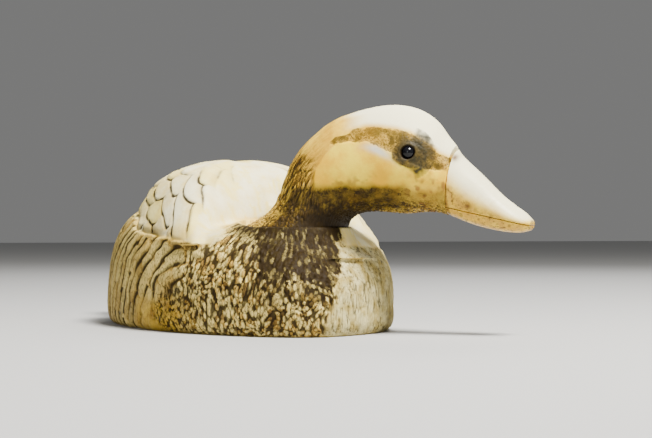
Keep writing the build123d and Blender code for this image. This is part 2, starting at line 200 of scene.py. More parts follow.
def softNoise(points, size, seed):
    grid = points / size
    base = np.floor(grid).astype(np.int64)
    part = grid - base
    part = part * part * (3 - 2 * part)
    total = np.zeros(len(points))
    for dx in (0, 1):
        for dy in (0, 1):
            for dz in (0, 1):
                weight = ((part[:, 0] if dx else 1 - part[:, 0])
                          * (part[:, 1] if dy else 1 - part[:, 1])
                          * (part[:, 2] if dz else 1 - part[:, 2]))
                total += weight * cellRandom(seed, base[:, 0] + dx, base[:, 1] + dy, base[:, 2] + dz)
    return total * 2 - 1


def pebbles(points, size, seed):
    # distance to the nearest and to the second pebble centre, and the pebble's own random number
    grid = points / size
    base = np.floor(grid).astype(np.int64)
    near = np.full(len(points), 9.0)
    second = np.full(len(points), 9.0)
    own = np.zeros(len(points))
    for dx in (-1, 0, 1):
        for dy in (-1, 0, 1):
            for dz in (-1, 0, 1):
                cell = base + (dx, dy, dz)
                centre = cell + columns(*[
                    cellRandom(seed + axis, cell[:, 0], cell[:, 1], cell[:, 2]) for axis in range(3)
                ])
                gap = np.linalg.norm(grid - centre, axis=1)
                closer = gap < near
                second = np.where(closer, near, np.minimum(second, gap))
                own = np.where(closer, cellRandom(seed + 5, cell[:, 0], cell[:, 1], cell[:, 2]), own)
                near = np.where(closer, gap, near)
    return near, second - near, own


def scaleRows(along, across, rows):
    # overlapping feathers: each row lies over the start of the next one, like shingles
    pitch, width, seed, wobble = rows["pitch"], rows["width"], rows["seed"], rows["wobble"]
    halfWidth = 0.54
    tipReach = 0.55
    rowsCovered = 2.4
    row0 = np.floor(along / pitch).astype(np.int64)
    height = np.full(len(along), -1.0)
    creaseGap = np.full(len(along), 99.0)
    edgeGap = np.full(len(along), 99.0)
    owner = np.zeros(len(along))
    taken = np.zeros(len(along), dtype=bool)
    for step in (-2, -1, 0, 1):
        row = row0 + step
        shift = 0.5 * (row % 2)
        column0 = np.floor(across / width - shift).astype(np.int64)
        for side in (-1, 0, 1):
            column = column0 + side
            lift = (cellRandom(seed, row, column) - 0.5) * wobble * 2
            slide = (cellRandom(seed + 1, row, column) - 0.5) * wobble
            grow = 1 + (cellRandom(seed + 2, row, column) - 0.5) * wobble
            fromMiddle = (across / width - shift - column - 0.5 - slide) / (halfWidth * grow)
            inside = np.abs(fromMiddle) < 1
            arch = np.sqrt(np.clip(1 - fromMiddle**2, 0, 1))
            tip = (row + tipReach + lift + rows["roundness"] * arch) * pitch
            depth = tip - along
            covers = inside & (depth > 0) & (depth < rowsCovered * pitch)
            beyond = inside & (depth <= 0) & ~taken
            creaseGap = np.where(beyond, np.minimum(creaseGap, -depth), creaseGap)
            fresh = covers & ~taken
            shape = (1 - 0.55 * depth / pitch) * (1 - 0.30 * fromMiddle**2)
            height = np.where(fresh, shape, height)
            edgeGap = np.where(fresh, depth * (0.35 + 0.65 * arch), edgeGap)
            owner = np.where(fresh, cellRandom(seed + 3, row, column), owner)
            taken |= covers
    return np.where(taken, height, 0), creaseGap, edgeGap, owner


print("helpers ready")


# carved hull, made from the shell's outside
hull = {
    "voxel": 0.60,
    "skinAngle": math.radians(65),
    "boardGap": 0.3,
    "hollowAngle": math.radians(9),
    "hollowHeights": (39, 62),
    "hollowRear": -98,
    "hollowFromNeck": 27.5,
    "neckAt": (54.0, 0.0),
    "humpMiddle": (-22.0, 0.0),
    "seatLevel": 44.0,
    "collarRadius": 25.05,
    "seatRoom": 0.30,
    "seatCut": 2.0,
    "collarHeight": 4.3,
    "collarReach": 15.0,
    "flareReach": 33.0,
    "borderX": (-40.0, -20.0, 8.0, 40.0, 50.0),
    "borderZ": (50.5, 48.5, 45.6, 42.8, 40.8),
    "ridgeX": (-110, -81, -70, -55, -40, -25, -5, 12, 26, 40),
    "ridgeZ": (48, 52, 66, 77, 81, 82, 82, 76, 62, 44),
    "throatAt": (84, -9, 46),
    "grooveDepth": 1.3,
    "grooveWidth": 1.5,
    "highestCarve": 0.6,
    "evenRounds": 14,
    "meltRounds": 60,
    "keepTriangles": 190000,
}
humpRows = {"pitch": 7.8, "width": 27.0, "roundness": 0.68, "wobble": 0.24, "seed": 11,
            "slant": math.radians(20), "proud": 1.1, "cut": 0.8, "cutWidth": 0.9}
flankRows = {"pitch": 2.9, "width": 11.0, "roundness": 0.10, "wobble": 0.22, "seed": 18,
             "proud": 1.25, "cut": 0.9, "cutWidth": 0.6}
neckStreaks = {"size": 1.15, "wander": 0.8, "stretch": 0.22, "seed": 55}
breastGrains = {"size": 1.50, "wander": 2.2, "stretch": 0.60, "seed": 61}
sideStreaks = {"size": 1.5, "wander": 0.8, "stretch": 0.15, "proud": 0.40, "seed": 81}
tailRibs = {"width": 5.2, "fan": 0.004, "from": -127, "proud": 0.45, "base": 0.3}


def outsideOfShell():
    piece = copyNode("body_shell", "carvedHull")
    seat = hull["seatLevel"] * mm
    nearby = 0.05 * mm
    straight = 0.9

    def alsoKeep(face):
        middle = face.calc_center_median()
        onFoot = middle.z < nearby and face.normal.z < -straight
        onSeat = abs(middle.z - seat) < nearby and face.normal.z > straight
        return onFoot or onSeat

    keepSkin(piece, lambda face: face.calc_center_median().z, hull["skinAngle"], alsoKeep)
    return piece


def hollowLine(piece):
    # points along the sharp hollow where the hump stands on the flanks
    work = bmesh.new()
    work.from_mesh(piece.data)
    line = []
    for edge in work.edges:
        if len(edge.link_faces) != 2 or edge.is_convex or edge.calc_face_angle(0) < hull["hollowAngle"]:
            continue
        first, last = (np.array(vert.co) * 1000 for vert in edge.verts)
        steps = max(2, int(np.linalg.norm(last - first)) + 1)
        line += [first + (last - first) * step / steps for step in range(steps + 1)]
    work.free()
    line = np.array(line)
    fromNeck = np.hypot(line[:, 0] - hull["neckAt"][0], line[:, 1] - hull["neckAt"][1])
    lowest, highest = hull["hollowHeights"]
    wanted = (line[:, 2] > lowest) & (line[:, 2] < highest)
    wanted &= (fromNeck > hull["hollowFromNeck"]) & (line[:, 0] > hull["hollowRear"])
    return line[wanted]


carvedHull = outsideOfShell()
hollow = hollowLine(carvedHull)
print("hollow points:", len(hollow), hollow.min(axis=0).round(1), hollow.max(axis=0).round(1))

# the open foot goes up to just over the board, so that the ring's pocket stays open
pickOnly(carvedHull)
bpy.ops.object.mode_set(mode="EDIT")
work = bmesh.from_edit_mesh(carvedHull.data)
footEdges = [e for e in work.edges if e.is_boundary and max(v.co.z for v in e.verts) < 0.001]
raised = bmesh.ops.extrude_edge_only(work, edges=footEdges)["geom"]
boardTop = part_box("bottom_board")[1][2] + hull["boardGap"] * mm
for vert in [g for g in raised if isinstance(g, bmesh.types.BMVert)]:
    vert.co.z = boardTop
bmesh.ops.holes_fill(work, edges=[e for e in work.edges if e.is_boundary], sides=0)
bmesh.ops.recalc_face_normals(work, faces=work.faces)
bmesh.update_edit_mesh(carvedHull.data)
bpy.ops.object.mode_set(mode="OBJECT")
refine(carvedHull, hull["voxel"] * mm)
print("hull remeshed:", len(carvedHull.data.polygons))

points = readPoints(carvedHull)
edges = readEdges(carvedHull)
points = relax(points, edges, hull["evenRounds"])

# tail root and the hump's shoulders melt into the flanks
x, y, z = points.T
tailRoot = rise(x, -88, -98) * rise(z, 26, 36) * (1 - rise(x, -112, -118))
shoulder = rise(x, 8, 22) * (1 - rise(x, 58, 66)) * rise(z, 33, 38) * rise(np.abs(y), 12, 22)
crest = rise(z, 70, 75) * rise(x, -70, -60)
melting = np.maximum(tailRoot, np.maximum(0.8 * shoulder, 0.6 * crest))
points = relax(points, edges, hull["meltRounds"], 0.5 * melting, back=0)
writePoints(carvedHull, points)
normals = readNormals(carvedHull)

# signed gap to the hollow: above it on the hump, below it on the flanks
tree = KDTree(len(hollow))
for number, spot in enumerate(hollow):
    tree.insert(spot, number)
tree.balance()
nearest = np.array([tree.find(spot)[1] for spot in points])
middleX, middleY = hull["humpMiddle"]
outward = np.hypot(points[:, 0] - middleX, points[:, 1] - middleY)
hollowOut = np.hypot(hollow[nearest, 0] - middleX, hollow[nearest, 1] - middleY)
hollowGap = 0.75 * (points[:, 2] - hollow[nearest, 2]) - 0.66 * (outward - hollowOut)
print("hollow found")

# the hump's border: the hollow itself, or a higher line along the right-hand side
x, y, z = points.T
nx, nz = normals[:, 0], normals[:, 2]
neckGap = np.hypot(x - hull["neckAt"][0], y - hull["neckAt"][1])
underneath = rise(-nz, 0.75, 0.95)
borderGap = z - np.interp(x, hull["borderX"], hull["borderZ"])
rightSide = rise(x, -34, -12) * rise(-y, 4, 12)
humpGap = hollowGap * (1 - rightSide) + borderGap * rightSide + softNoise(points, 9, 20) * 0.5
shoulderTop = rise(z, 40.2, 41.4) * rise(x, 12, 20) * (1 - rightSide)
raggedGap = neckGap + softNoise(points, 5, 21) * 1.4
outOfFlare = rise(raggedGap, hull["flareReach"] - 1.8, hull["flareReach"] + 1.8)
# pale top: partly the back's own cream paint, partly painted highlight where the lamp from above whitens
# the top of the back
paleTop = np.maximum(rise(humpGap, -0.8, 0.8), shoulderTop)
paleTop *= np.maximum(outOfFlare, 1 - rise(x, 14, 22)) * (1 - rise(x, 50, 56)) * rise(z, 36, 39)
leftTop = rise(y, 11, 14) * rise(z + softNoise(points, 6, 23) * 0.6, 37.6, 38.8) * rise(x, 14, 22)
highUp = rise(z, 51.5, 53.5) * rise(x, -60, -40)
paleTop = np.maximum(paleTop, np.maximum(leftTop, highUp))
drop = hull["seatLevel"] - z

# smooth collar that meets the neck
t = np.clip((neckGap - hull["collarRadius"]) / hull["collarReach"], 0, 1)
atCollar = rise(z, 31, 41) * rise(nz, 0.05, 0.45) * (1 - rise(z, 47, 52))
lift = hull["collarHeight"] * (1 - t) ** 2.2 * atCollar
points[:, 2] += lift
seatFloor = (neckGap < hull["collarRadius"] + hull["seatRoom"]) & (z > 38)
points[:, 2] = np.where(seatFloor, hull["seatLevel"] + hull["seatCut"], points[:, 2])
x, y, z = points.T

# hollow under the hump
groove = bell(humpGap, hull["grooveWidth"]) * rise(z, 36, 39) * rise(neckGap, 33, 38)
groove *= (1 - 0.8 * rise(x, 10, 24)) * rise(neckGap, 36, 46)
carve = -hull["grooveDepth"] * groove
crease = 0.55 * groove * (0.6 + 0.4 * softNoise(points, 6, 22))

# big shoulder feathers on the hump, fading out towards its top and front
ridge = np.interp(x, hull["ridgeX"], hull["ridgeZ"])
downSlope = np.hypot(y, np.clip(ridge - z, 0, None))
slant = humpRows["slant"]
along = downSlope * math.cos(slant) - x * math.sin(slant) + softNoise(points, 17, 31) * 2.4
across = downSlope * math.sin(slant) + x * math.cos(slant) + softNoise(points, 15, 32) * 3.0
across = across + np.where(y > 0, 400, 0)
height, gap, edge, humpOwner = scaleRows(along, across, humpRows)
blankFront = rise(nx + softNoise(points, 12, 33) * 0.15, 0.50, 0.80)
blank = np.maximum(blankFront, 0.85 * rise(z + softNoise(points, 12, 35) * 4, 69, 79))
scaled = paleTop * (1 - blank) * rise(downSlope, 6, 12) * (1 - rise(x, 36, 48)) * rise(neckGap, 36, 48)
softEdge = rise(edge, 0, 1.8)
proud = humpRows["proud"] * height * softEdge
carve += scaled * (proud - humpRows["cut"] * bell(gap, humpRows["cutWidth"]))
lineStrength = 0.55 + 0.45 * rise(softNoise(points, 4, 34), -0.5, 0.4)
scaleLine = np.maximum(bell(gap, 0.75), 0.9 * bell(edge, 0.6))
crease = np.maximum(crease, scaled * scaleLine * lineStrength)
hollowShade = scaled * 0.45 * bell(gap, 2.4)
hollowShade += 0.35 * bell(humpGap - 1, 3.5) * paleTop * (1 - rise(nx, 0.4, 0.7))

# flank feathers: wavy rows that arch round the low bare patch
flank = (1 - paleTop) * rise(-humpGap, 0.4, 2.2) * (1 - underneath)
tailOnly = rise(-x, 100, 108)
side = np.where(y > 0, 1, 0)
archX, archZ = (x - 54) * 0.42, (z + 8) * 0.40
wave = softNoise(points * (0.5, 0.5, 1), 8, 41) * 1.2 + softNoise(points * (0.5, 0.5, 1), 3.6, 43) * 0.5
along = np.hypot(archX, archZ) + wave
across = np.degrees(np.arctan2(archZ, -archX)) * 0.60 + softNoise(points, 11, 42) * 2.0 + side * 300
height, gap, edge, flankOwner = scaleRows(along, across, flankRows)
softEdge = rise(edge, 0, 0.9)
meeting = softNoise(points, 9, 50) * 8 + softNoise(points, 3, 56) * 4
ridged = flank * (1 - tailOnly) * (1 - rise(x + meeting - 0.5 * (z - 20), 28, 46))
bare = np.exp(-(((x - 26 - 0.5 * z) / 22) ** 4 + ((z - 7) / 9.0) ** 4)) * np.where(y < 0, 1, 0)
bare = np.clip(bare + softNoise(points, 6, 44) * 0.25 * rise(bare, 0.05, 0.4), 0, 1)
ridged = ridged * (1 - 0.85 * bare)
proud = flankRows["proud"] * height * softEdge
carve += ridged * (proud - flankRows["cut"] * bell(gap, flankRows["cutWidth"]))
ridgeTone = np.clip(0.85 - 0.75 * height * softEdge + 0.35 * (flankOwner - 0.5), 0, 0.77)
broken = 0.6 + 0.4 * rise(softNoise(points, 5, 45), -0.45, 0.2)
rowLine = np.maximum(bell(gap, 0.62), 0.9 * bell(edge, 0.36))
crease = np.maximum(crease, ridged * broken * rowLine)

# the dark front is parted from the pale left side by a slanting line; the pale side is partly its own
# paint and partly painted light, the lit side that faces the lamp
breast = (1 - paleTop) * rise(x + meeting - 0.5 * (z - 20), 20, 42) * (1 - underneath)
partLine = -7.0 + 0.40 * np.clip(z, 0, 46)
ragged = softNoise(points, 4, 49) * 2.6 + softNoise(points, 1.8, 57) * 1.6
leftSide = rise(y - partLine + ragged, -1.8, 1.8) * rise(x, -20, 10)
amount = breast * (1 - 0.80 * leftSide)

# streaks run out from the neck and turn into small uneven grains further down
aroundNeck = np.arctan2(y, x - hull["neckAt"][0])
swirl = noiseColumns(points, 8, 51, 52, 53)
streakAt = columns(aroundNeck * 30, neckStreaks["stretch"] * (neckGap - z), np.zeros(len(x)))
streakAt += swirl * neckStreaks["wander"]
streakNear, _, streakOwn = pebbles(streakAt, neckStreaks["size"], neckStreaks["seed"])
grainAt = points * (1.0, 1.0, breastGrains["stretch"]) + swirl * breastGrains["wander"]
grainNear, _, grainOwn = pebbles(grainAt, breastGrains["size"], breastGrains["seed"])
runsOut = rise(25 - drop - 0.5 * (neckGap - 30) + softNoise(points, 5, 54) * 7, 0, 3) > 0.5
near = np.where(runsOut, streakNear, grainNear)
own = np.where(runsOut, streakOwn, grainOwn)
mound = 1 - rise(near, 0.10, 0.66)
carve += amount * (mound * (0.35 + 0.75 * own) - 0.45)
crease = np.maximum(crease, amount * rise(near, 0.38, 0.70) * (0.55 + 0.45 * own))

# long streaks down the pale left side and round the stern
streakAt = columns(x * 0.9, y * 0.9, z * sideStreaks["stretch"]) + swirl * sideStreaks["wander"]
_, wall, sideOwn = pebbles(streakAt, sideStreaks["size"], sideStreaks["seed"])
streaked = np.clip(breast * leftSide * 0.9 + flank * 0.2, 0, 1)
carve += streaked * sideStreaks["proud"] * (rise(wall, 0, 0.5) - 0.6)
crease = np.maximum(crease, streaked * 0.6 * (1 - rise(wall, 0.0, 0.30)) * rise(sideOwn, 0.2, 0.7))

# tail feathers, side by side
fanned = y * (1 + tailRibs["fan"] * (x - tailRibs["from"])) / tailRibs["width"]
ribs = np.abs((fanned + 0.5) % 1 - 0.5) * 2
tailMask = rise(-x, 99, 106) * rise(z, 34, 42)
carve += tailMask * (tailRibs["proud"] * (1 - ribs**3) - tailRibs["base"])
crease = np.maximum(crease, tailMask * rise(ribs, 0.86, 1.0) * 0.8)

# hand-cut unevenness all over
carve += (softNoise(points, 22, 91) * 0.45 + softNoise(points, 7, 92) * 0.16) * (1 - underneath)
offSeat = rise(neckGap, hull["collarRadius"] + 0.4, hull["collarRadius"] + 3.5) + (z < 36)
hold = np.clip(offSeat, 0, 1) * (1 - underneath) * rise(z, 0.0, 2.5)
points = points + normals * (np.minimum(carve, hull["highestCarve"]) * hold)[:, None]
points = keepInside(points, "body_shell")
writePoints(carvedHull, points)

# tones that the paint reads
x, y, z = points.T
# painted shadow of the neck and head on the breast, partly the breast's own dark paint: darkest in front
# of the neck, fading outwards
throatGap = np.linalg.norm((points - hull["throatAt"]) * (0.85, 0.85, 0.66), axis=1)
throat = amount * (1 - rise(throatGap + softNoise(points, 8, 102) * 4, 13, 37))
frontOfNeck = rise(x - 0.6 * y, 52, 74)
neckFootShade = amount * (1 - rise(neckGap + 6 * own, 29, 42)) * rise(z, 36, 42)
throat = np.maximum(throat, neckFootShade * (0.22 + 0.78 * frontOfNeck))
crease = np.maximum(crease, 0.45 * amount * (1 - rise(neckGap, 25.6, 27.0)) * rise(z, 40, 43))
lowShade = (1 - rise(z, 0.5, 9)) * 0.35 * (1 - 0.7 * bare)
sternShade = flank * (0.18 + 0.20 * rise(-x, -20, 50)) * (1 - bare)
hullTones = {
    "crease": crease,
    "pale": paleTop,
    "left": leftSide * np.maximum(breast, flank),
    "bare": bare,
    "grain": amount + 0.80 * ridged,
    "throat": throat,
    "shade": np.maximum(lowShade, np.maximum(1.3 * sternShade, hollowShade)),
    "tint": np.where(scaled > 0.2, humpOwner, np.where(ridged > 0.2, ridgeTone, own)),
}
for name, values in hullTones.items():
    storeTone(carvedHull, name, values)

thinOut(carvedHull, hull["keepTriangles"])
smoothShade(carvedHull)
print("hull carved:", len(carvedHull.data.polygons))
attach(carvedHull, "hull")
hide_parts("body_shell")


# neck and head, made from the head's outside
head = {
    "voxel": 0.42,
    "skinAngle": math.radians(48),
    "turn": math.radians(45),
    "footLevel": 46.3,
    "footRadius": 24.7,
    "footHeight": 49.0,
    "throat": (47.0, 49.0),
    "seamReach": 74.2,
    "stripeTopReach": (20, 24.4, 32.3, 39, 45, 53, 59.6, 64.9, 72.2, 77),
    "stripeTopHeight": (84.5, 87.2, 90.4, 92.3, 92.0, 90.8, 88.9, 85.4, 80.0, 78.2),
    "stripeLowReach": (20, 24.4, 34.3, 39.7, 45.7, 51.6, 55.6, 60.9, 67.6, 72.9, 77),
    "stripeLowHeight": (84.2, 85.2, 85.4, 85.8, 84.2, 81.0, 77.6, 75.4, 72.6, 72.6, 76.0),
    "cheekRearHeight": (60, 69.4, 73.2, 78.2, 84.5),
    "cheekRearReach": (16.5, 15.4, 16.0, 19.2, 25.0),
    "highestCarve": 0.7,
    "evenRounds": 16,
    "crownRounds": 260,
    "chinRounds": 120,
    "keepTriangles": 190000,
}
headStreaks = {"size": 1.05, "wander": 0.9, "stretch": 4.6, "turnScale": 26, "proud": 0.46, "seed": 221}
throatGrains = {"size": 1.5, "stretch": 1.2, "proud": 0.22, "seed": 231}
eyeSocket = {"lidAt": 3.5, "lidWidth": 0.85, "lidHeight": 0.5, "dishDepth": 1.5, "reach": 12}


def headFrame(points):
    # reach along the bill's heading, and side to the left of it
    dx, dy = points[:, 0] - hull["neckAt"][0], points[:, 1] - hull["neckAt"][1]
    reach = dx * math.cos(head["turn"]) + dy * math.sin(head["turn"])
    side = -dx * math.sin(head["turn"]) + dy * math.cos(head["turn"])
    return reach, side


def capOff(piece, cutHeight=None):
    work = bmesh.new()
    work.from_mesh(piece.data)
    if cutHeight is not None:
        everything = list(work.verts) + list(work.edges) + list(work.faces)
        bmesh.ops.bisect_plane(work, geom=everything, plane_co=(0, 0, cutHeight * mm),
                               plane_no=(0, 0, 1), clear_inner=True)
    bmesh.ops.holes_fill(work, edges=[e for e in work.edges if e.is_boundary], sides=0)
    bmesh.ops.recalc_face_normals(work, faces=work.faces)
    work.to_mesh(piece.data)
    work.free()


carvedHead = copyNode("head", "carvedHead")
keepSkin(carvedHead, lambda face: face.calc_center_median().z, head["skinAngle"], lambda face: False)
capOff(carvedHead, head["footLevel"])
refine(carvedHead, head["voxel"] * mm)
print("head remeshed:", len(carvedHead.data.polygons))

points = readPoints(carvedHead)
edges = readEdges(carvedHead)
points = relax(points, edges, head["evenRounds"])
u, v = headFrame(points)
z = points[:, 2]
# the crown has no ridge where neck and face meet
joinLine = np.abs((u - 22) * 0.829 + (z - 98.4) * 0.56)
seamGap = head["seamReach"] - u
softJoin = rise(-joinLine, -9, -4) * rise(z, 55, 60) * rise(seamGap, 2, 5) * rise(z, 48, 50)
points = relax(points, edges, head["crownRounds"], 0.5 * softJoin, back=0)
chin = rise(-z, -62, -57) * rise(seamGap, 2, 6) * rise(z, 48, 51)
points = relax(points, edges, head["chinRounds"], 0.5 * chin, back=0)
writePoints(carvedHead, points)
normals = readNormals(carvedHead)
u, v = headFrame(points)
z = points[:, 2]

# cheek, stripe and crown, each bounded along the reach of the head
stripeTop = np.interp(u, head["stripeTopReach"], head["stripeTopHeight"])
stripeLow = np.interp(u, head["stripeLowReach"], head["stripeLowHeight"])
ragged = softNoise(points, 3.2, 201) * 0.9 + softNoise(points, 1.2, 202) * 0.5
stripe = rise(stripeTop - z + ragged, -0.8, 0.9) * rise(z - stripeLow + ragged, -0.7, 0.8)
stripe *= rise(u, 19.5, 26) * rise(np.abs(v), 4, 7)
cheekRear = np.interp(z, head["cheekRearHeight"], head["cheekRearReach"])
cheek = rise(u - cheekRear, -0.6, 1.2) * rise(z, 63.5, 68.5) * rise(stripeLow - z, -1.0, 0.8)
# crown: partly pale paint, partly painted highlight of the lamp from above on the top of the head
crown = rise(z - stripeTop, -0.5, 3) * rise(u + 0.2 * (z - 90), 26, 42)
crown = np.maximum(crown, rise(z - 95, 0, 4) * rise(u, 22, 34))
grey = np.exp(-((u - 46) / 6.0) ** 2 - ((z - stripeLow + 2.4) / 1.9) ** 2) * rise(np.abs(v), 5, 8)
neck = (1 - rise(u - cheekRear + 0.10 * (z - 60), -2, 3) * rise(z, 56, 64)) * (1 - crown)
jaw = rise(u, 50, 62) * rise(70 - z, -2, 4)
# darker under the cheek and down the front of the neck: partly the neck's dark paint, partly painted
# shade under the head
throatEdge = 66.3 - 2.5 * rise(u, 56, 68) + softNoise(points, 4, 203) * 1.2
throatShade = rise(throatEdge - z, -2.2, 2.4) * rise(u + 0.4 * (60 - z), -7, 7) * (1 - 0.45 * jaw)
# painted shade on the low front of the neck, over the upward-facing foot
lowNeckShade = rise(58 - z, 0, 6) * rise(u, 2, 16) * (1 - rise(u, 34, 40))
# painted highlight: the shade is lifted along the chin's underside, where the lamp's light rims the edge
throatShade *= 1 - 0.55 * rise(56.5 - z, -1, 1.5) * rise(u, 38, 46) * (1 - rise(u, 62, 68))
carve = 0.45 * cheek * rise(np.abs(v), 5, 9)
carve -= 0.35 * bell(u - cheekRear + 0.6, 0.9) * rise(z, 63, 68) * rise(86 - z, -2, 2)

# fine streaks that follow the neck round from its foot to the crown
throatU, throatZ = head["throat"]
swing = np.arctan2(z - throatZ, throatU - u)
ring = np.hypot(z - throatZ, u - throatU)
streakAt = columns(ring, v, swing * headStreaks["turnScale"] / headStreaks["stretch"])
streakAt[:, :2] += noiseColumns(points, 7, 211, 212) * headStreaks["wander"]
_, wall, own = pebbles(streakAt, headStreaks["size"], headStreaks["seed"])
streaks = neck * (1 - cheek) * (1 - 0.85 * rise(z + 0.35 * u + softNoise(points, 5, 213) * 3, 76, 92))
carve += streaks * headStreaks["proud"] * (rise(wall, 0.0, 0.5) * (0.55 + 0.8 * own) - 0.55)
crease = streaks * (1 - rise(wall, 0.04, 0.34)) * (0.5 + 0.5 * own)
cheekLine = 0.5 * bell(u - cheekRear + 0.8, 0.7) * rise(z, 66, 70) * rise(83 - z, -1, 3)
crease = np.maximum(crease, cheekLine * rise(softNoise(points, 2.5, 204), -0.3, 0.3))
softGrain = np.clip(throatShade * (1 - cheek) + 0.6 * stripe, 0, 1)
grainAt = points * (1, 1, throatGrains["stretch"])
_, wall, grainOwn = pebbles(grainAt, throatGrains["size"], throatGrains["seed"])
carve += softGrain * (1 - streaks) * throatGrains["proud"] * (rise(wall, 0, 0.4) - 0.6)
crease = np.maximum(crease, softGrain * (1 - streaks) * (1 - rise(wall, 0, 0.24)) * grainOwn)

# eye sockets: a shallow dish with a soft lid round it
socket = np.zeros(len(points))
for side in ("left", "right"):
    low, high = (np.array(list(corner)) * 1000 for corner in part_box("eye_" + side))
    sign = 1 if side == "left" else -1
    fromEye = points - (low + high) / 2
    eyeAxis = np.array([-math.sin(head["turn"]), math.cos(head["turn"]), 0]) * sign
    across = np.linalg.norm(np.cross(fromEye, eyeAxis), axis=1)
    sameSide = (v * sign > 4) & (np.linalg.norm(fromEye, axis=1) < eyeSocket["reach"])
    lid = bell(across - eyeSocket["lidAt"], eyeSocket["lidWidth"]) * sameSide
    dish = (1 - rise(across, 2.2, 3.3)) * sameSide
    carve += eyeSocket["lidHeight"] * lid - eyeSocket["dishDepth"] * dish
    crease = np.maximum(crease, (1 - rise(across, 2.9, 3.6)) * sameSide * 0.95)
    around = across * (1 - 0.16 * np.clip(u - 59.6, 0, 3)) + 1.6 * ragged
    socket = np.maximum(socket, (1 - rise(around, 4.2, 8.4)) * sameSide)
    stripe = np.maximum(stripe, (1 - rise(across + ragged, 5.2, 8.0)) * sameSide * 0.95)

# the face draws in a little where it meets the bill
carve -= 0.55 * (1 - rise(seamGap, 0.0, 6.0)) * rise(z, 60, 70)
carve -= 0.60 * (1 - rise(seamGap, 0.0, 9.0)) * rise(z, 75, 80)
seamHold = 1 - (1 - rise(seamGap, 0.3, 1.6)) * (1 - rise(z, 60, 66))
footHold = rise(z, head["footLevel"] + 0.6, head["footLevel"] + 5)
hold = footHold * seamHold
carve += softNoise(points, 14, 241) * 0.18 * hold
carve = np.minimum(carve, head["highestCarve"]) * hold
points = points + normals * carve[:, None]
points = keepInside(points, "head")
# the foot stays clear of the collar all the way round
fromAxis = points[:, :2] - hull["neckAt"]
radius = np.linalg.norm(fromAxis, axis=1)
inCollar = (points[:, 2] < head["footHeight"]) & (radius > head["footRadius"])
fromAxis[inCollar] *= (head["footRadius"] / radius[inCollar])[:, None]
points[:, :2] = fromAxis + hull["neckAt"]
writePoints(carvedHead, points)
blotches = rise(softNoise(points, 3.4, 271) + 0.7 * softNoise(points, 1.4, 272), 0.05, 0.75)
stainAt = np.maximum(jaw * (1 - rise(z, 72, 78)), 0.8 * rise(u, 62, 72) * (1 - crown))
stainAt = np.maximum(stainAt, 0.7 * bell(z - 68, 3.0) * cheek)
headTones = {
    "crease": crease,
    "pale": crown,
    "cheek": cheek,
    "stripe": stripe,
    "socket": socket,
    "grey": grey,
    "throat": throatShade,
    "low": lowNeckShade,
    "grain": streaks,
    "stain": np.clip(stainAt, 0, 1) * blotches,
    "tint": own,
}
for name, values in headTones.items():
    storeTone(carvedHead, name, values)
thinOut(carvedHead, head["keepTriangles"])
smoothShade(carvedHead)
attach(carvedHead, "turning_head")
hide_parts("head", "eye_putty_left", "eye_putty_right")
print("head carved:", len(carvedHead.data.polygons))

# bill, upper and lower
bill = {
    "voxel": 0.36,
    "skinAngle": math.radians(178),
    "evenRounds": 10,
    "nail": 104.5,
    "topReach": (74, 82, 92, 101, 108),
    "topHeight": (86, 75, 66.5, 59, 54),
    "lowReach": (71, 82, 91, 100, 107, 111),
    "lowHeight": (53.8, 49.8, 47.2, 45.7, 45.6, 47),
}
billPieces = []
for part, pieceName in (("upper_bill", "carvedUpperBill"), ("lower_bill", "carvedLowerBill")):
    piece = copyNode(part, pieceName)
    if part == "upper_bill":
        keepSkin(piece, lambda face: face.calc_center_median().z, bill["skinAngle"], lambda face: True)
    refine(piece, bill["voxel"] * mm)
    points = readPoints(piece)
    points = relax(points, readEdges(piece), bill["evenRounds"])
    u, v = headFrame(points)
    z = points[:, 2]
    writePoints(piece, points)
    normals = readNormals(piece)
    topLine = np.interp(u, bill["topReach"], bill["topHeight"])
    lowLine = np.interp(u, bill["lowReach"], bill["lowHeight"])
    share = np.clip((z - lowLine) / (topLine - lowLine), 0, 1)
    carve = softNoise(points, 9, 301) * 0.12 - 0.1
    carve -= 0.16 * bell(u - bill["nail"], 0.9) * rise(-np.abs(v), -6, -4) * rise(share, 0.4, 0.8)
    inside = rise(u, 75.5, 77)
    points = points + normals * (carve * inside)[:, None]
    points = keepInside(points, part)
    writePoints(piece, points)
    edgeStain = 1 - rise(share, 0.16, 0.62)
    rootStain = 1 - rise(u + 0.3 * (z - 60), 76, 84)
    blotch = rise(softNoise(points, 3.6, 311) + 0.7 * softNoise(points, 1.4, 312), 0.0, 0.7)
    spots = np.exp(-(((u - 84) / 1.6) ** 2 + ((z - 57) / 1.3) ** 2)) * (v < 0)
    spots = np.maximum(spots, np.exp(-(((u - 77.5) / 1.5) ** 2 + ((z - 78.5) / 1.8) ** 2)))
    # the bill's upper part is painted near-white: painted highlight of the lamp from above
    storeTone(piece, "pale", rise(share, 0.35, 0.75))
    storeTone(piece, "stain", 0.85 * edgeStain + 0.25 * rootStain * blotch + 0.4 * blotch * (1 - share))
    storeTone(piece, "crease", 0.9 * spots + (1 - rise(u, 74.3, 75.4)) * 0.6)
    smoothShade(piece)
    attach(piece, "turning_head")
    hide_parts(part)
    billPieces.append(piece)
print("bill ready:", [len(p.data.polygons) for p in billPieces])


# finishes: a sheet is one material with its nodes and links
def startPaint(name):
    paint = bpy.data.materials.new(name)
    paint.use_nodes = True
    tree = paint.node_tree
    place = tree.nodes.new("ShaderNodeTexCoord").outputs["Object"]
    return {"paint": paint, "nodes": tree.nodes, "links": tree.links, "place": place,
            "shader": tree.nodes["Principled BSDF"]}


def plug(sheet, value, socket):
    if hasattr(value, "is_linked"):
        sheet["links"].new(value, socket)
    else:
        socket.default_value = value


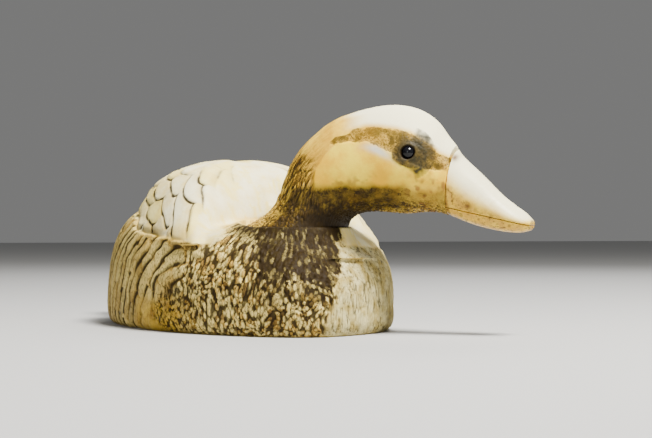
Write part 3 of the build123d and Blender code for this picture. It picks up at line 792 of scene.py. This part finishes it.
def blend(sheet, share, first, second, how="MIX"):
    mix = sheet["nodes"].new("ShaderNodeMix")
    mix.data_type = "RGBA"
    mix.blend_type = how
    plug(sheet, share, mix.inputs[0])
    plug(sheet, first if hasattr(first, "is_linked") else (*first, 1), mix.inputs[6])
    plug(sheet, second if hasattr(second, "is_linked") else (*second, 1), mix.inputs[7])
    return mix.outputs[2]


def maths(sheet, how, first, second=0.0):
    node = sheet["nodes"].new("ShaderNodeMath")
    node.operation = how
    plug(sheet, first, node.inputs[0])
    plug(sheet, second, node.inputs[1])
    return node.outputs[0]


def times(sheet, *values):
    total = values[0]
    for value in values[1:]:
        total = maths(sheet, "MULTIPLY", total, value)
    return total


def remap(sheet, value, low, high, toLow=0.0, toHigh=1.0):
    node = sheet["nodes"].new("ShaderNodeMapRange")
    node.interpolation_type = "SMOOTHSTEP"
    plug(sheet, value, node.inputs[0])
    for socket, number in zip(list(node.inputs)[1:5], (low, high, toLow, toHigh)):
        socket.default_value = number
    return node.outputs[0]


def tone(sheet, name):
    node = sheet["nodes"].new("ShaderNodeAttribute")
    node.attribute_type = "GEOMETRY"
    node.attribute_name = name
    return node.outputs["Fac"]


def stretched(sheet, stretch):
    if not stretch:
        return sheet["place"]
    mapping = sheet["nodes"].new("ShaderNodeMapping")
    mapping.inputs["Scale"].default_value = stretch
    sheet["links"].new(sheet["place"], mapping.inputs["Vector"])
    return mapping.outputs[0]


def patches(sheet, scale, detail=4.0, roughness=0.6, stretch=None):
    noise = sheet["nodes"].new("ShaderNodeTexNoise")
    noise.inputs["Scale"].default_value = scale
    noise.inputs["Detail"].default_value = detail
    noise.inputs["Roughness"].default_value = roughness
    sheet["links"].new(stretched(sheet, stretch), noise.inputs["Vector"])
    return noise.outputs["Fac"]


def cracks(sheet, scale, width, stretch=None):
    # thin lines between cells
    cells = sheet["nodes"].new("ShaderNodeTexVoronoi")
    cells.feature = "DISTANCE_TO_EDGE"
    cells.inputs["Scale"].default_value = scale
    sheet["links"].new(stretched(sheet, stretch), cells.inputs["Vector"])
    return remap(sheet, cells.outputs["Distance"], 0.0, width, 1.0, 0.0)


def finishPaint(sheet, colour, sheen, heights, look):
    sheet["links"].new(colour, sheet["shader"].inputs["Base Color"])
    sheet["links"].new(sheen, sheet["shader"].inputs["Roughness"])
    sheet["shader"].inputs["Specular IOR Level"].default_value = look["shine"]
    bump = sheet["nodes"].new("ShaderNodeBump")
    bump.inputs["Strength"].default_value = look["bump"]
    bump.inputs["Distance"].default_value = look["bumpHeight"]
    sheet["links"].new(heights, bump.inputs["Height"])
    sheet["links"].new(bump.outputs[0], sheet["shader"].inputs["Normal"])
    return sheet["paint"]


colours = {
    "paleAndHighlight": (0.95, 0.89, 0.58),
    "cream": (0.88, 0.66, 0.20),
    "straw": (0.70, 0.47, 0.09),
    "ochre": (0.46, 0.27, 0.035),
    "brown": (0.100, 0.052, 0.013),
    "shade": (0.015, 0.009, 0.003),
    "dark": (0.022, 0.014, 0.006),
}
hullPaint = {
    "grainPale": (0.97, 0.78, 0.26),
    "grainDeep": (0.50, 0.30, 0.05),
    "sidePale": (0.86, 0.78, 0.40),
    "sideDeep": (0.50, 0.40, 0.13),
    "topWarm": (0.86, 0.70, 0.30),
    "topYellow": (0.95, 0.78, 0.20),
    "topHollow": (0.86, 0.62, 0.12),
    "bareLight": (0.56, 0.36, 0.03),
    "bareDark": (0.25, 0.13, 0.015),
    "broad": 55,
    "middle": 170,
    "fine": 520,
    "speck": 1100,
    "hair": 620,
    "bump": 0.5,
    "bumpHeight": 0.0004,
    "shine": 0.05,
}


def makeHullPaint():
    sheet = startPaint("carvedPaint")
    crease, pale, left = tone(sheet, "crease"), tone(sheet, "pale"), tone(sheet, "left")
    bare, grain = tone(sheet, "bare"), tone(sheet, "grain")
    shade, tint = tone(sheet, "shade"), tone(sheet, "tint")
    broad = patches(sheet, hullPaint["broad"], 5)
    middle = patches(sheet, hullPaint["middle"], 4)
    fine = patches(sheet, hullPaint["fine"], 3)
    speck = patches(sheet, hullPaint["speck"], 2, 0.5, (1, 1, 0.5))
    base = blend(sheet, remap(sheet, broad, 0.36, 0.64), colours["cream"], colours["straw"])
    base = blend(sheet, remap(sheet, middle, 0.52, 0.72, 0.0, 0.8), base, colours["ochre"])
    grainShare = remap(sheet, tint, 0.25, 0.8)
    grainColour = blend(sheet, grainShare, hullPaint["grainPale"], hullPaint["grainDeep"])
    grainColour = blend(sheet, remap(sheet, tint, 0.78, 0.84), grainColour, colours["brown"])
    base = blend(sheet, times(sheet, grain, 0.85), base, grainColour)
    # pale left side: partly its own paint, partly painted light on the side that faces the lamp
    sideShare = remap(sheet, middle, 0.35, 0.65)
    sideColour = blend(sheet, sideShare, hullPaint["sidePale"], hullPaint["sideDeep"])
    base = blend(sheet, times(sheet, left, 0.9), base, sideColour)
    # the top's near-white colour is partly pale paint, partly painted highlight of the lamp from above
    topColour = blend(sheet, remap(sheet, broad, 0.38, 0.66), colours["paleAndHighlight"], hullPaint["topWarm"])
    topColour = blend(sheet, remap(sheet, tint, 0.30, 1.0, 0.0, 0.75), topColour, hullPaint["topYellow"])
    hollowShare = times(sheet, shade, remap(sheet, middle, 0.3, 0.6))
    topColour = blend(sheet, hollowShare, topColour, hullPaint["topHollow"])
    base = blend(sheet, pale, base, topColour)
    bareShare = remap(sheet, middle, 0.35, 0.7)
    bareColour = blend(sheet, bareShare, hullPaint["bareLight"], hullPaint["bareDark"])
    base = blend(sheet, times(sheet, bare, 0.9), base, bareColour)
    blotch = times(sheet, grain, remap(sheet, broad, 0.48, 0.70, 0.0, 0.6))
    base = blend(sheet, blotch, base, colours["brown"])
    hairLines = cracks(sheet, hullPaint["hair"], 0.11, (1, 1, 0.45))
    hairs = times(sheet, grain, hairLines, remap(sheet, fine, 0.35, 0.6, 0.2, 0.85))
    base = blend(sheet, hairs, base, colours["dark"])
    specks = times(sheet, grain, remap(sheet, speck, 0.58, 0.70, 0.0, 0.8))
    base = blend(sheet, specks, base, colours["dark"])
    shadeShare = times(sheet, shade, remap(sheet, middle, 0.3, 0.7, 0.95, 0.75))
    base = blend(sheet, shadeShare, base, colours["brown"])
    # throat: partly dark paint, partly painted shadow of the neck; streaks of low tint go dark first
    streaky = times(sheet, maths(sheet, "SUBTRACT", tint, 0.5), 0.55)
    throat = maths(sheet, "ADD", tone(sheet, "throat"), streaky)
    throatShadeShare = remap(sheet, throat, 0.30, 0.95, 0.0, 0.97)
    base = blend(sheet, throatShadeShare, base, colours["shade"])
    base = blend(sheet, remap(sheet, crease, 0.05, 0.75, 0.0, 0.95), base, colours["dark"])
    sheen = remap(sheet, fine, 0.3, 0.7, 0.46, 0.68)
    heights = maths(sheet, "ADD", fine, times(sheet, speck, grain))
    return finishPaint(sheet, base, sheen, heights, hullPaint)


carvedHull.data.materials.append(makeHullPaint())

headPaint = {
    "neckYellow": (0.88, 0.58, 0.055),
    "neckOchre": (0.62, 0.34, 0.02),
    "cheekLight": (0.97, 0.71, 0.035),
    "cheekDeep": (0.84, 0.46, 0.008),
    "lightPatch": (0.66, 0.64, 0.54),
    "streakLight": (0.66, 0.44, 0.08),
    "streakDeep": (0.20, 0.11, 0.02),
    "stain": (0.30, 0.13, 0.03),
    "throatDark": (0.012, 0.008, 0.003),
    "throatBrown": (0.048, 0.027, 0.007),
    "stripeDark": (0.040, 0.022, 0.006),
    "stripeWorn": (0.40, 0.24, 0.04),
    "socket": (0.034, 0.029, 0.014),
    "broad": 70,
    "middle": 210,
    "fine": 620,
    "speck": 1400,
    "hair": 760,
    "bump": 0.35,
    "bumpHeight": 0.0003,
    "shine": 0.08,
}


def makeHeadPaint():
    sheet = startPaint("carvedHeadPaint")
    crease, crown, grain = tone(sheet, "crease"), tone(sheet, "pale"), tone(sheet, "grain")
    stripe, throat, cheek = tone(sheet, "stripe"), tone(sheet, "throat"), tone(sheet, "cheek")
    tint, socket, grey = tone(sheet, "tint"), tone(sheet, "socket"), tone(sheet, "grey")
    stain = tone(sheet, "stain")
    broad = patches(sheet, headPaint["broad"], 5)
    middle = patches(sheet, headPaint["middle"], 4)
    fine = patches(sheet, headPaint["fine"], 3)
    speck = patches(sheet, headPaint["speck"], 2, 0.5)
    base = blend(sheet, remap(sheet, broad, 0.36, 0.64), headPaint["neckYellow"], headPaint["neckOchre"])
    cheekShare = remap(sheet, broad, 0.32, 0.66)
    cheekColour = blend(sheet, cheekShare, headPaint["cheekLight"], headPaint["cheekDeep"])
    base = blend(sheet, cheek, base, cheekColour)
    base = blend(sheet, grey, base, headPaint["lightPatch"])
    # near-white crown: partly pale paint, partly painted highlight
    base = blend(sheet, crown, base, colours["paleAndHighlight"])
    streakTint = remap(sheet, tint, 0.25, 0.85)
    streakColour = blend(sheet, streakTint, headPaint["streakLight"], headPaint["streakDeep"])
    streakShare = times(sheet, grain, remap(sheet, tint, 0.0, 0.9, 0.15, 0.9))
    base = blend(sheet, streakShare, base, streakColour)
    base = blend(sheet, times(sheet, stain, 0.8), base, headPaint["stain"])
    # throat colour: partly dark paint, partly painted shade under the head
    throatShadeShare = times(sheet, throat, remap(sheet, middle, 0.30, 0.72, 1.0, 0.80))
    throatTint = remap(sheet, fine, 0.40, 0.66)
    throatColour = blend(sheet, throatTint, headPaint["throatDark"], headPaint["throatBrown"])
    base = blend(sheet, throatShadeShare, base, throatColour)
    # painted shade on the low front of the neck
    lowNeckShadeShare = times(sheet, tone(sheet, "low"), remap(sheet, tint, 0.2, 0.9, 1.0, 0.8))
    base = blend(sheet, lowNeckShadeShare, base, colours["shade"])
    stripeTint = remap(sheet, middle, 0.40, 0.60)
    stripeColour = blend(sheet, stripeTint, headPaint["stripeDark"], headPaint["stripeWorn"])
    stripeColour = blend(sheet, remap(sheet, speck, 0.52, 0.60, 0.0, 0.95), stripeColour, colours["dark"])
    uneven = times(sheet, maths(sheet, "SUBTRACT", fine, 0.5), 0.9)
    stripeShare = remap(sheet, maths(sheet, "ADD", stripe, uneven), 0.28, 0.72)
    stripeShare = times(sheet, stripeShare, remap(sheet, broad, 0.3, 0.6, 0.95, 0.75))
    base = blend(sheet, stripeShare, base, stripeColour)
    socketShare = times(sheet, socket, remap(sheet, middle, 0.36, 0.60, 0.75, 1.0))
    base = blend(sheet, socketShare, base, headPaint["socket"])
    hairLines = cracks(sheet, headPaint["hair"], 0.12)
    hairs = times(sheet, grain, hairLines, remap(sheet, fine, 0.35, 0.6, 0.1, 0.6))
    base = blend(sheet, hairs, base, colours["dark"])
    base = blend(sheet, remap(sheet, crease, 0.08, 0.8, 0.0, 0.92), base, colours["dark"])
    sheen = remap(sheet, fine, 0.3, 0.7, 0.36, 0.56)
    heights = maths(sheet, "ADD", fine, times(sheet, speck, grain))
    return finishPaint(sheet, base, sheen, heights, headPaint)


billPaint = {
    "light": (0.97, 0.68, 0.07),
    "deep": (0.84, 0.50, 0.025),
    "stain": (0.60, 0.34, 0.045),
    "spot": (0.10, 0.035, 0.012),
    "broad": 90,
    "middle": 260,
    "fine": 640,
    "bump": 0.2,
    "bumpHeight": 0.0003,
    "shine": 0.16,
}


def makeBillPaint():
    sheet = startPaint("carvedBillPaint")
    crease, pale, stain = tone(sheet, "crease"), tone(sheet, "pale"), tone(sheet, "stain")
    broad = patches(sheet, billPaint["broad"], 5)
    middle = patches(sheet, billPaint["middle"], 4)
    fine = patches(sheet, billPaint["fine"], 3)
    base = blend(sheet, remap(sheet, broad, 0.35, 0.65), billPaint["light"], billPaint["deep"])
    # near-white top of the bill: painted highlight of the lamp from above
    base = blend(sheet, pale, base, colours["paleAndHighlight"])
    stainShare = times(sheet, stain, remap(sheet, middle, 0.30, 0.62, 0.30, 1.0))
    base = blend(sheet, stainShare, base, billPaint["stain"])
    brownShare = times(sheet, stain, stain, remap(sheet, fine, 0.50, 0.64, 0.0, 0.85))
    base = blend(sheet, brownShare, base, colours["brown"])
    base = blend(sheet, crease, base, billPaint["spot"])
    sheen = remap(sheet, fine, 0.3, 0.7, 0.25, 0.42)
    return finishPaint(sheet, base, sheen, fine, billPaint)


carvedHead.data.materials.append(makeHeadPaint())
paintedBill = makeBillPaint()
for piece in billPieces:
    piece.data.materials.append(paintedBill)


def plainFinish(name, first, second, scale, sheen, metallic=0.0, bumpHeight=0.0002, stretch=None):
    sheet = startPaint(name)
    grain = patches(sheet, scale, 5, 0.6, stretch)
    colour = blend(sheet, remap(sheet, grain, 0.3, 0.7), first, second)
    sheet["shader"].inputs["Metallic"].default_value = metallic
    look = {"bump": 0.4, "bumpHeight": bumpHeight, "shine": 0.16}
    return finishPaint(sheet, colour, remap(sheet, grain, 0.2, 0.8, *sheen), grain, look)


# each row: first colour, second colour, grain scale, roughness range, metallic, bump height, stretch
finishes = {
    "boardWood": ((0.42, 0.26, 0.12), (0.24, 0.13, 0.055), 60, (0.45, 0.65), 0, 0.0003, (0.12, 1, 1)),
    "blockPly": ((0.55, 0.40, 0.22), (0.40, 0.26, 0.12), 90, (0.5, 0.7), 0, 0.0002, (0.2, 1, 3)),
    "dowelWood": ((0.60, 0.44, 0.24), (0.45, 0.30, 0.15), 120, (0.5, 0.7)),
    "sealRubber": ((0.03, 0.03, 0.03), (0.05, 0.05, 0.048), 300, (0.6, 0.8)),
    "agedBrass": ((0.62, 0.42, 0.16), (0.38, 0.25, 0.10), 220, (0.28, 0.5), 1.0, 0.00008),
    "stockSteel": ((0.50, 0.50, 0.50), (0.36, 0.36, 0.37), 260, (0.25, 0.4), 1.0, 0.00005),
    "castLead": ((0.22, 0.23, 0.24), (0.13, 0.135, 0.14), 140, (0.45, 0.65), 0.85, 0.0002),
    "discLeather": ((0.20, 0.10, 0.045), (0.12, 0.06, 0.03), 400, (0.55, 0.75)),
}
wears = {
    "boardWood": ["bottom_board"],
    "blockPly": ["neck_block"],
    "dowelWood": ["bill_dowel"],
    "sealRubber": ["bottom_gasket"],
    "agedBrass": ["board_screws", "ballast_screws", "line_eye", "line_eye_screws", "anchor_ring",
                  "neck_insert", "neck_nut"],
    "stockSteel": ["neck_stud", "upper_washer", "lower_washer", "neck_spring"],
    "castLead": ["ballast_weight"],
    "discLeather": ["friction_disc"],
}
for finishName, wearers in wears.items():
    finish = plainFinish(finishName, *finishes[finishName])
    for nodeName in wearers:
        nodes[nodeName].data.materials.clear()
        nodes[nodeName].data.materials.append(finish)

# dark glass eyes
eyeGlass = {"deep": (0.002, 0.002, 0.003), "light": (0.006, 0.006, 0.008), "scale": 500,
            "roughness": 0.03, "shine": 0.3}
glass = startPaint("eyeGlass")
flecks = remap(glass, patches(glass, eyeGlass["scale"], 2), 0.4, 0.7)
glassColour = blend(glass, flecks, eyeGlass["deep"], eyeGlass["light"])
glass["links"].new(glassColour, glass["shader"].inputs["Base Color"])
glass["shader"].inputs["Roughness"].default_value = eyeGlass["roughness"]
glass["shader"].inputs["Specular IOR Level"].default_value = eyeGlass["shine"]
for side in ("left", "right"):
    nodes["eye_" + side].data.materials.clear()
    nodes["eye_" + side].data.materials.append(glass["paint"])
print("finishes ready")


# floor, camera and light
view = {
    "place": (0.7261, -0.2980, 0.0458),
    "along": (-0.9063, 0.4226, 0.0),
    "lens": 88.34,
    "shiftUp": 0.0199,
    "sensor": 36,
}
floorLook = {"size": 12, "colour": (0.46, 0.46, 0.455, 1), "roughness": 0.8}
airLight = {"colour": (0.80, 0.80, 0.79, 1), "strength": 0.24}
lightsAim = (0, 0, 0.05)
lights = {
    "key": {"place": (0.50, 0.16, 1.00), "power": 43, "size": 0.32, "colour": (1.0, 0.97, 0.91)},
    "fill": {"place": (0.95, -0.75, 0.40), "power": 4.5, "size": 0.22, "colour": (0.97, 0.98, 1.0)},
    "back": {"place": (-0.65, 0.55, 0.80), "power": 6, "size": 0.6, "colour": (1.0, 1.0, 1.0)},
}
deselectAll()
bpy.ops.mesh.primitive_plane_add(size=floorLook["size"], location=(0, 0, 0))
floor = bpy.context.active_object
floor.name = "studioFloor"
floorPaint = bpy.data.materials.new("studioFloorPaint")
floorPaint.use_nodes = True
floorShader = floorPaint.node_tree.nodes["Principled BSDF"]
floorShader.inputs["Base Color"].default_value = floorLook["colour"]
floorShader.inputs["Roughness"].default_value = floorLook["roughness"]
floor.data.materials.append(floorPaint)

cameraData = bpy.data.cameras.new("viewCamera")
camera = bpy.data.objects.new("viewCamera", cameraData)
bpy.context.scene.collection.objects.link(camera)
bpy.context.scene.camera = camera
camera.location = view["place"]
camera.rotation_euler = Vector(view["along"]).to_track_quat("-Z", "Y").to_euler()
cameraData.sensor_width = view["sensor"]
cameraData.lens = view["lens"]
cameraData.shift_y = view["shiftUp"]
for name, lamp in lights.items():
    lampData = bpy.data.lights.new(name + "Light", "AREA")
    lampData.energy = lamp["power"]
    lampData.size = lamp["size"]
    lampData.color = lamp["colour"]
    lampObject = bpy.data.objects.new(name + "Light", lampData)
    bpy.context.scene.collection.objects.link(lampObject)
    lampObject.location = lamp["place"]
    aim = Vector(lightsAim) - lampObject.location
    lampObject.rotation_euler = aim.to_track_quat("-Z", "Y").to_euler()
studio = bpy.data.worlds.new("studio")
studio.use_nodes = True
studio.node_tree.nodes["Background"].inputs["Color"].default_value = airLight["colour"]
studio.node_tree.nodes["Background"].inputs["Strength"].default_value = airLight["strength"]
bpy.context.scene.world = studio
print("stage ready")
